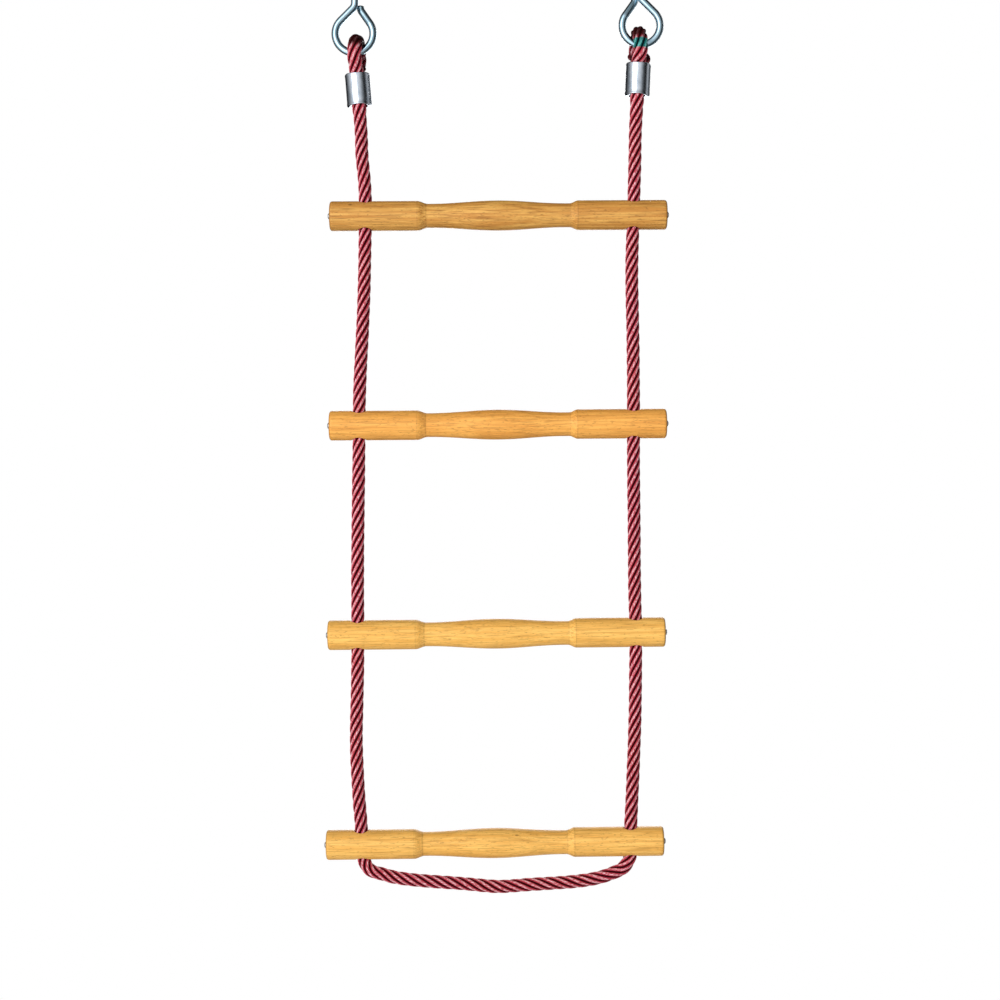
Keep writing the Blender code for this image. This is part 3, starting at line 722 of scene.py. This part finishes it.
def make_hooks(material):
    """The bent hooks, with sheared and lightly chamfered ends."""
    for side in LEGS:
        route = hook_route(side)
        along = lengths(route)
        from_end = np.minimum(along, along[-1] - along)
        size = WIRE_RADIUS * (WIRE_CHAMFER + (1 - WIRE_CHAMFER) * np.clip(from_end / WIRE_STEP, 0, 1))
        outline = circle(WIRE_SIDES)[None] * size[:, None, None]
        turn = np.arange(WIRE_SIDES) / WIRE_SIDES
        values = {
            "along": np.repeat(along[:, None], WIRE_SIDES, axis=1),
            "around": np.abs(turn * 2 - 1)[None] + 0 * along[:, None],
        }
        hook = grid_mesh(f"hook_{side}_bent", sweep(route, WIRE_SEAM, outline), values=values)
        hook.data.materials.append(material)
        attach(hook, "hooks")
        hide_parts(f"hook_{side}")


SLEEVE_SIDES = 224
SLEEVE_RINGS = 70
PRESSED_RADIUS = 13.9 * MM
FLARE = 1.05 * MM
FLARE_LENGTH = 7 * MM
# The share of the flare that is left where the widest lip starts, for the wall's thickness there
FLARE_AT_LIP = 0.4
# The rounding outside and inside each mouth: at most so much, and at most this share of the wall
LIP = 2.6 * MM
BORE_EASING = 1.4 * MM
LIP_SHARE = 0.45
END_DIP = 0.07
FLASH = {"left": 0.5 * MM, "right": 1.1 * MM}
FLASH_WIDTH = 1.5 * MM
FLASH_FADE = (0.5 * MM, 4 * MM)


def bore_outline(angles, ease):
    """The oblong bore: two half circles joined by flats, as distance from the axis at each angle."""
    wide, deep = SLEEVE_BORE
    offset = deep - wide
    radius = wide + ease
    s, c = np.abs(np.sin(angles)), np.abs(np.cos(angles))
    on_arc = offset * s + np.sqrt(np.maximum(radius**2 - (offset * c) ** 2, 0))
    flat = radius / np.maximum(c, 1e-6)
    return np.where(flat * s < offset, flat, on_arc)


def sleeve_rings():
    """Rings from the upper lip down the outside, round the lower lip and back up the bore.

    The press has left a waist between belled ends, ends that dip at front and back, and a ridge of
    flash down each side.
    """
    angles = np.arange(SLEEVE_SIDES) * 2 * math.pi / SLEEVE_SIDES
    half = SLEEVE_LENGTH / 2
    from_side = np.abs(np.sin(angles)) * PRESSED_RADIUS
    flash = np.where(np.cos(angles) > 0, FLASH["right"], FLASH["left"])
    flash = flash * np.exp(-(from_side / FLASH_WIDTH) ** 6)
    dip = 1 - END_DIP * np.sin(angles) ** 2
    wall = PRESSED_RADIUS + FLARE_AT_LIP * FLARE - bore_outline(angles, 0.0)
    lip_radius = np.minimum(LIP_SHARE * wall, LIP)
    easing = np.minimum(LIP_SHARE * wall, BORE_EASING)
    rings = []

    def add(radius, height):
        rings.append(np.stack([radius * np.cos(angles), radius * np.sin(angles), dip * height], axis=-1))

    def outer(height):
        to_end = half - abs(height)
        flare = FLARE * (1 - np.minimum(to_end / FLARE_LENGTH, 1)) ** 2
        kept = smooth_step(to_end, *FLASH_FADE)
        return PRESSED_RADIUS + flare + flash * kept

    def lip(sign, turns):
        for turn in np.radians(turns):
            height = half - lip_radius * (1 - math.sin(turn))
            add(outer(half - lip_radius) - lip_radius * (1 - math.cos(turn)), sign * height)

    def mouth(sign, turns):
        for turn in np.radians(turns):
            ease = easing * (1 - math.sin(turn))
            add(bore_outline(angles, ease), sign * (half - easing * (1 - math.cos(turn))))

    for height in np.linspace(half - lip_radius, -half + lip_radius, SLEEVE_RINGS):
        add(outer(height), height)
    lip(-1, np.linspace(15, 90, 6))
    mouth(-1, np.linspace(0, 90, 6))
    mouth(1, np.linspace(90, 0, 6))
    lip(1, np.linspace(90, 15, 6))
    return np.array(rings)[:, ::-1]


def make_sleeves(material):
    for side in LEGS:
        top, along = sleeve_line(side)
        sleeve = grid_mesh(f"sleeve_{side}_pressed", sleeve_rings(), closed=True)
        sleeve.data.materials.append(material)
        lean = Vector((0, 0, -1)).rotation_difference(Vector(along)).to_matrix().to_4x4()
        sleeve.matrix_world = Matrix.Translation(Vector(top + along * SLEEVE_LENGTH / 2)) @ lean
        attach(sleeve, "top_ropes")
        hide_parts(f"sleeve_{side}")


# ---------------------------------------------------------------- materials

class Shader:
    """One material's node tree, with short names for the nodes that these materials use."""

    def __init__(self, name):
        self.material = bpy.data.materials.new(name)
        self.material.use_nodes = True
        self.tree = self.material.node_tree
        self.surface = self.tree.nodes["Principled BSDF"]

    def node(self, kind, settings=None, **inputs):
        node = self.tree.nodes.new(kind)
        for key, value in (settings or {}).items():
            setattr(node, key, value)
        for key, value in inputs.items():
            self.feed(node.inputs[int(key[1:]) if key[0] == "i" else key], value)
        return node

    def feed(self, socket, value):
        if isinstance(value, bpy.types.NodeSocket):
            self.tree.links.new(value, socket)
        elif isinstance(value, tuple) and len(value) == 3 and len(socket.default_value) == 4:
            socket.default_value = (*value, 1.0)
        else:
            socket.default_value = value

    def attribute(self, name):
        return self.node("ShaderNodeAttribute", {"attribute_name": name}).outputs["Fac"]

    def place(self):
        return self.node("ShaderNodeTexCoord").outputs["Object"]

    def stretch(self, vector, scale, shift=(0.0, 0.0, 0.0)):
        """The vector times a scale for each axis, in cycles a metre, plus a shift in cycles."""
        node = self.node("ShaderNodeVectorMath", {"operation": "MULTIPLY_ADD"}, i0=vector)
        node.inputs[1].default_value = scale
        node.inputs[2].default_value = shift
        return node.outputs[0]

    def combine(self, x, y, z=0.0):
        return self.node("ShaderNodeCombineXYZ", None, i0=x, i1=y, i2=z).outputs[0]

    def split(self, vector):
        return self.node("ShaderNodeSeparateXYZ", None, i0=vector).outputs

    def noise(self, vector, detail=2.0, roughness=0.5):
        node = self.node("ShaderNodeTexNoise", {"noise_dimensions": "3D"}, Vector=vector)
        node.inputs["Scale"].default_value = 1.0
        node.inputs["Detail"].default_value = detail
        node.inputs["Roughness"].default_value = roughness
        return node.outputs["Fac"]

    def math(self, operation, a, b=0.0):
        return self.node("ShaderNodeMath", {"operation": operation}, i0=a, i1=b).outputs[0]

    def remap(self, value, low, high, to_low=0.0, to_high=1.0, smooth=False):
        kind = {"interpolation_type": "SMOOTHSTEP" if smooth else "LINEAR"}
        node = self.node("ShaderNodeMapRange", kind, i0=value, i1=low, i2=high, i3=to_low, i4=to_high)
        return node.outputs[0]

    def mix(self, share, a, b):
        return self.node("ShaderNodeMix", {"data_type": "RGBA"}, i0=share, i6=a, i7=b).outputs[2]

    def bump(self, height, distance, strength):
        node = self.node("ShaderNodeBump", None, Height=height)
        node.inputs["Strength"].default_value = strength
        node.inputs["Distance"].default_value = distance
        return node.outputs[0]

    def finish(self, **sockets):
        """Feeds the surface, with _ for a space in a socket's name, and returns the material."""
        for key, value in sockets.items():
            self.feed(self.surface.inputs[key.replace("_", " ")], value)
        return self.material


def rope_material():
    """Red filament yarns, with painted shade between the strands and between the yarns, and a painted
    highlight where each yarn crosses a strand's crown.
    """
    s = Shader("rope_red_laid")
    crown = s.attribute("crown")
    yarn = s.attribute("yarn")
    ridge = s.attribute("ridge")
    along = s.attribute("along")
    fibres = s.noise(s.stretch(s.combine(yarn, along), (7.0, 160.0, 1.0)), 3.0, 0.6)
    uneven = s.noise(s.stretch(s.combine(yarn, along), (1.0, 260.0, 1.0)), 2.0)
    fading = s.noise(s.stretch(s.place(), (14.0, 14.0, 14.0)), 2.0)
    red = s.mix(s.remap(fibres, 0.3, 0.7), (0.26, 0.010, 0.024), (0.66, 0.066, 0.110))
    red = s.mix(s.remap(fading, 0.35, 0.65, 0.0, 0.30), red, (0.50, 0.060, 0.055))
    # Painted shade: towards the grooves between the strands the colour runs to near black
    shown = s.remap(crown, 0.34, 0.84, smooth=True)
    colour = s.mix(shown, (0.024, 0.0002, 0.0006), red)
    # Painted shade in the hollows between the yarns
    colour = s.mix(s.remap(ridge, 0.0, 0.6, 0.65, 0.0), colour, (0.060, 0.001, 0.003))
    # Painted highlight: a pale pink spot on each yarn's crest at a strand's crown, where the light's
    # reflection would be
    painted_glint = s.remap(s.attribute("crest"), 0.80, 0.965, smooth=True)
    painted_glint = s.math("MULTIPLY", painted_glint, s.remap(ridge, 0.50, 0.88, smooth=True))
    painted_glint = s.math("MULTIPLY", painted_glint, s.remap(uneven, 0.38, 0.58, 0.15, 1.0))
    colour = s.mix(painted_glint, colour, (1.0, 0.74, 0.78))
    # A darker colour over the eye's wire, and painted shade on the loops' rear legs
    darkening = s.math("MULTIPLY", s.attribute("age"), s.remap(uneven, 0.3, 0.6, 1.0, 0.92))
    colour = s.mix(darkening, colour, (0.017, 0.0016, 0.0012))
    teal = s.mix(s.remap(fibres, 0.3, 0.7), (0.002, 0.045, 0.048), (0.016, 0.215, 0.200))
    # Painted shade towards the grooves of the teal band
    teal = s.mix(s.remap(crown, 0.28, 0.82, smooth=True), (0.001, 0.004, 0.005), teal)
    # The same painted highlight on the teal band
    teal = s.mix(s.math("MULTIPLY", painted_glint, 0.7), teal, (0.36, 0.88, 0.84))
    colour = s.mix(s.attribute("paint"), colour, teal)
    bump = s.bump(fibres, 0.25 * MM, 0.6)
    roughness = s.mix(shown, (0.85, 0.85, 0.85), (0.42, 0.42, 0.42))
    s.surface.inputs["Specular IOR Level"].default_value = 0.04
    return s.finish(Base_Color=colour, Roughness=roughness, Normal=bump)


# Each rung's tone: light and dark wood colour, and how strongly its streaks show
WOOD_TONES = [
    ((0.785, 0.440, 0.107), (0.530, 0.228, 0.041), 1.15),
    ((0.92, 0.465, 0.100), (0.72, 0.300, 0.052), 0.85),
    ((0.96, 0.560, 0.140), (0.80, 0.400, 0.075), 0.9),
    ((0.96, 0.560, 0.140), (0.80, 0.395, 0.075), 0.95),
]
# A small dark knot on two of the rungs: rung, then distance along it, height, and its half length
KNOTS = {0: (-0.1758, 0.0116, 0.0030), 3: (0.0260, 0.0110, 0.0024)}
# Fine lines that the lathe tool left at the shoulders: distance along the rung and strength
TOOL_LINES = [(-0.0862, 0.45), (-0.0965, 0.25), (0.0947, 0.35), (0.0862, 0.25)]


def wood_material(number):
    """Turned beech: growth rings through the whole rung, long streaks, short dark flecks, a matt lacquer."""
    light, dark, strength = WOOD_TONES[number]
    s = Shader(f"rung_wood_{number + 1}")
    place = s.place()
    shift = (1.7 * number, 3.1 * number, 5.3 * number)
    bend = s.noise(s.stretch(place, (9.0, 25.0, 25.0), shift), 2.0)
    x, y, z = s.split(place)[:3]
    pith_y = 0.028 - 0.011 * number
    pith_z = -0.034 + 0.006 * number
    dy = s.math("ADD", s.math("ADD", y, -pith_y), s.math("MULTIPLY", x, 0.03))
    dz = s.math("ADD", s.math("ADD", z, -pith_z), s.math("MULTIPLY", bend, 0.008))
    distance = s.math("SQRT", s.math("ADD", s.math("MULTIPLY", dy, dy), s.math("MULTIPLY", dz, dz)))
    rings = s.math("PINGPONG", s.math("MULTIPLY", distance, 400.0), 1.0)
    rings = s.remap(rings, 0.55, 1.0, smooth=True)
    streaks = s.noise(s.stretch(place, (10.0, 330.0, 330.0), shift), 2.0, 0.6)
    threads = s.noise(s.stretch(place, (26.0, 640.0, 640.0), shift), 2.0, 0.6)
    fibres = s.noise(s.stretch(place, (60.0, 1900.0, 1900.0), shift), 2.0, 0.6)
    flecks = s.noise(s.stretch(place, (190.0, 900.0, 900.0), shift), 1.0, 0.5)
    clouds = s.noise(s.stretch(place, (14.0, 45.0, 45.0), shift), 2.0)
    tone = s.mix(s.remap(streaks, 0.40, 0.62, 0.0, 0.80 * strength), light, dark)
    tone = s.mix(s.math("MULTIPLY", rings, 0.35 * strength), tone, dark)
    tone = s.mix(s.remap(clouds, 0.38, 0.66, 0.0, 0.40 * strength), tone, dark)
    deep = tuple(0.55 * c for c in dark)
    tone = s.mix(s.remap(threads, 0.50, 0.66, 0.0, 0.60 * strength), tone, deep)
    tone = s.mix(s.remap(fibres, 0.35, 0.65, 0.0, 0.30), tone, deep)
    tone = s.mix(s.remap(flecks, 0.62, 0.70, 0.0, 0.55), tone, tuple(0.40 * c for c in dark))
    for along, amount in TOOL_LINES:
        gap = s.math("ABSOLUTE", s.math("ADD", x, -along))
        line = s.math("MULTIPLY", s.remap(gap, 0.4 * MM, 1.1 * MM, amount, 0.0), s.remap(streaks, 0.3, 0.6))
        tone = s.mix(line, tone, tuple(0.35 * c for c in dark))
    if number in KNOTS:
        along, height, half = KNOTS[number]
        dx = s.math("MULTIPLY", s.math("ADD", x, -along), 1 / half)
        dz = s.math("MULTIPLY", s.math("ADD", z, -height), 2.6 / half)
        reach = s.math("SQRT", s.math("ADD", s.math("MULTIPLY", dx, dx), s.math("MULTIPLY", dz, dz)))
        knot = s.math("MULTIPLY", s.remap(reach, 0.4, 1.2, 0.8, 0.0), s.remap(y, -0.004, 0.0, 1.0, 0.0))
        tone = s.mix(knot, tone, tuple(0.30 * c for c in dark))
    # Painted shade on the rounded end edges, together with the darker end grain: the colour darkens over the
    # last few millimetres of each end
    from_end = s.math("ADD", s.math("ABSOLUTE", x), -RUNG_LENGTH / 2)
    tone = s.mix(s.remap(from_end, -2.4 * MM, -0.7 * MM, 0.0, 0.75), tone, deep)
    grain = s.math("ADD", fibres, s.math("MULTIPLY", streaks, 0.5))
    bump = s.bump(grain, 0.12 * MM, 0.35)
    roughness = s.remap(streaks, 0.3, 0.7, 0.42, 0.55)
    s.surface.inputs["Specular IOR Level"].default_value = 0.25
    return s.finish(Base_Color=tone, Roughness=roughness, Normal=bump)


def zinc_material():
    """Bright zinc plating with a bluish tint, fine drawing lines and duller patches."""
    s = Shader("hook_zinc_plated")
    lines = s.noise(s.stretch(s.combine(s.attribute("around"), s.attribute("along")), (60.0, 60.0, 1.0)), 2.0)
    patches = s.noise(s.stretch(s.place(), (90.0, 90.0, 90.0)), 3.0)
    colour = s.mix(s.remap(patches, 0.35, 0.65), (0.24, 0.36, 0.43), (0.35, 0.48, 0.56))
    roughness = s.remap(patches, 0.3, 0.7, 0.12, 0.24)
    s.surface.inputs["Metallic"].default_value = 1.0
    return s.finish(Base_Color=colour, Roughness=roughness, Normal=s.bump(lines, 0.05 * MM, 0.25))


def aluminium_material():
    """Pressed aluminium: soft, scuffed along its length, greyer where it was handled."""
    s = Shader("sleeve_aluminium_pressed")
    place = s.place()
    scratches = s.noise(s.stretch(place, (1400.0, 1400.0, 55.0)), 2.0)
    patches = s.noise(s.stretch(place, (160.0, 160.0, 110.0)), 3.0)
    colour = s.mix(s.remap(patches, 0.35, 0.65), (0.40, 0.46, 0.53), (0.56, 0.61, 0.68))
    roughness = s.remap(scratches, 0.3, 0.7, 0.17, 0.30)
    bump = s.bump(s.math("ADD", scratches, patches), 0.10 * MM, 0.35)
    s.surface.inputs["Metallic"].default_value = 1.0
    return s.finish(Base_Color=colour, Roughness=roughness, Normal=bump)


def steel_material():
    s = Shader("screw_steel_plated")
    patches = s.noise(s.stretch(s.place(), (500.0, 500.0, 500.0)), 2.0)
    colour = s.mix(s.remap(patches, 0.35, 0.65), (0.24, 0.24, 0.25), (0.46, 0.46, 0.46))
    s.surface.inputs["Metallic"].default_value = 1.0
    return s.finish(Base_Color=colour, Roughness=s.remap(patches, 0.3, 0.7, 0.25, 0.4))


# ---------------------------------------------------------------- view, light and floor

def make_camera():
    data = bpy.data.cameras.new("camera")
    data.sensor_width = SENSOR
    data.lens = SENSOR * CAMERA_DISTANCE / VIEW_WIDTH
    camera = bpy.data.objects.new("camera", data)
    camera.location = (VIEW_CENTRE[0], -CAMERA_DISTANCE, VIEW_CENTRE[1])
    camera.rotation_euler = (math.pi / 2, 0, 0)
    bpy.context.scene.collection.objects.link(camera)
    bpy.context.scene.camera = camera


# The two soft lights: place and power. Both are as large and look at the same place
LIGHTS = {"key": ((-1.25, -2.1, 0.1), 20), "back": ((0.3, 2.5, -0.3), 52)}
LIGHT_TARGET = (0, 0, -0.6)
LIGHT_SIZE = (1.7, 1.9)

FLOOR_RADIUS = 0.72
FLOOR_HEIGHT = -1.50
FLOOR_THICKNESS = 0.01

# The studio's brightness by direction: in degrees from the camera's side towards the right ...
STUDIO_ROUND = [
    (-180, 0.01), (-136, 0.01), (-120, 0.12), (-96, 0.40), (-75, 0.80), (-56, 1.1), (-49, 2.6), (-14, 2.6),
    (-6, 1.2), (20, 1.0), (38, 0.50), (56, 0.10), (70, 0.015), (92, 0.03), (104, 0.55), (124, 0.60),
    (138, 0.03), (180, 0.01),
]
# ... and as a share of that by height, from straight down to straight up
STUDIO_HEIGHT = [(-1.0, 0.65), (-0.6, 0.85), (-0.2, 1.0), (0.25, 1.0), (0.6, 0.65), (0.85, 0.30), (1.0, 0.25)]


def make_light(name, place, power):
    data = bpy.data.lights.new(name, "AREA")
    data.shape = "RECTANGLE"
    data.size, data.size_y = LIGHT_SIZE
    data.energy = power
    light = bpy.data.objects.new(name, data)
    light.location = place
    light.visible_camera = False
    light.rotation_euler = (Vector(LIGHT_TARGET) - Vector(place)).to_track_quat("-Z", "Y").to_euler()
    bpy.context.scene.collection.objects.link(light)


def make_world():
    """White behind the object; as a light, bright in front and darker at the sides and behind."""
    world = bpy.data.worlds.new("studio")
    bpy.context.scene.world = world
    world.use_nodes = True
    tree = world.node_tree
    background = tree.nodes["Background"]
    background.inputs["Color"].default_value = (1, 1, 1, 1)

    def node(kind, operation=None, *inputs):
        made = tree.nodes.new(kind)
        if operation:
            made.operation = operation
        for socket, value in zip(made.inputs, inputs):
            if isinstance(value, bpy.types.NodeSocket):
                tree.links.new(value, socket)
            else:
                socket.default_value = value
        return made

    place = node("ShaderNodeTexCoord").outputs["Generated"]
    x, y, z = node("ShaderNodeSeparateXYZ", None, place).outputs
    towards = node("ShaderNodeMath", "MULTIPLY", y, -1.0).outputs[0]
    round_about = node("ShaderNodeMath", "ARCTAN2", x, towards).outputs[0]

    def ramp(value, span, stops):
        share = node("ShaderNodeMath", "MULTIPLY_ADD", value, 0.5 / span, 0.5).outputs[0]
        made = node("ShaderNodeValToRGB", None, share)
        elements = made.color_ramp.elements
        for place, (at, brightness) in enumerate(stops):
            if place < 2:
                elements[place].position = at / (2 * span) + 0.5
                stop = elements[place]
            else:
                stop = elements.new(at / (2 * span) + 0.5)
            stop.color = (brightness, brightness, brightness, 1)
        return made.outputs[0]

    around = ramp(round_about, math.pi, [(math.radians(at), value) for at, value in STUDIO_ROUND])
    level = node("ShaderNodeMath", "MULTIPLY", around, ramp(z, 1.0, STUDIO_HEIGHT)).outputs[0]
    seen = node("ShaderNodeMix", None, node("ShaderNodeLightPath").outputs["Is Camera Ray"])
    tree.links.new(level, seen.inputs[2])
    seen.inputs[3].default_value = 1.0
    tree.links.new(seen.outputs[0], background.inputs["Strength"])


def make_floor():
    """A pale disc below the ladder."""
    rings = np.zeros((4, 96, 3))
    sizes = FLOOR_RADIUS * np.array([1, 1, 0.5, 0.05])
    rings[..., :2] = circle(96)[None] * sizes[:, None, None]
    rings[..., 2] = FLOOR_HEIGHT
    rings[0, :, 2] -= FLOOR_THICKNESS
    floor = grid_mesh("floor", rings)
    s = Shader("floor_pale")
    floor.data.materials.append(s.finish(Base_Color=(0.88, 0.88, 0.87), Roughness=0.8))


bpy.context.scene.view_settings.view_transform = "Standard"
make_camera()
make_world()
ROPE = rope_material()
make_ropes(ROPE)
make_loops(ROPE)
make_rungs(main_route(), steel_material())
make_hooks(zinc_material())
make_sleeves(aluminium_material())
make_floor()
for light_name, (light_place, light_power) in LIGHTS.items():
    make_light(light_name, light_place, light_power)
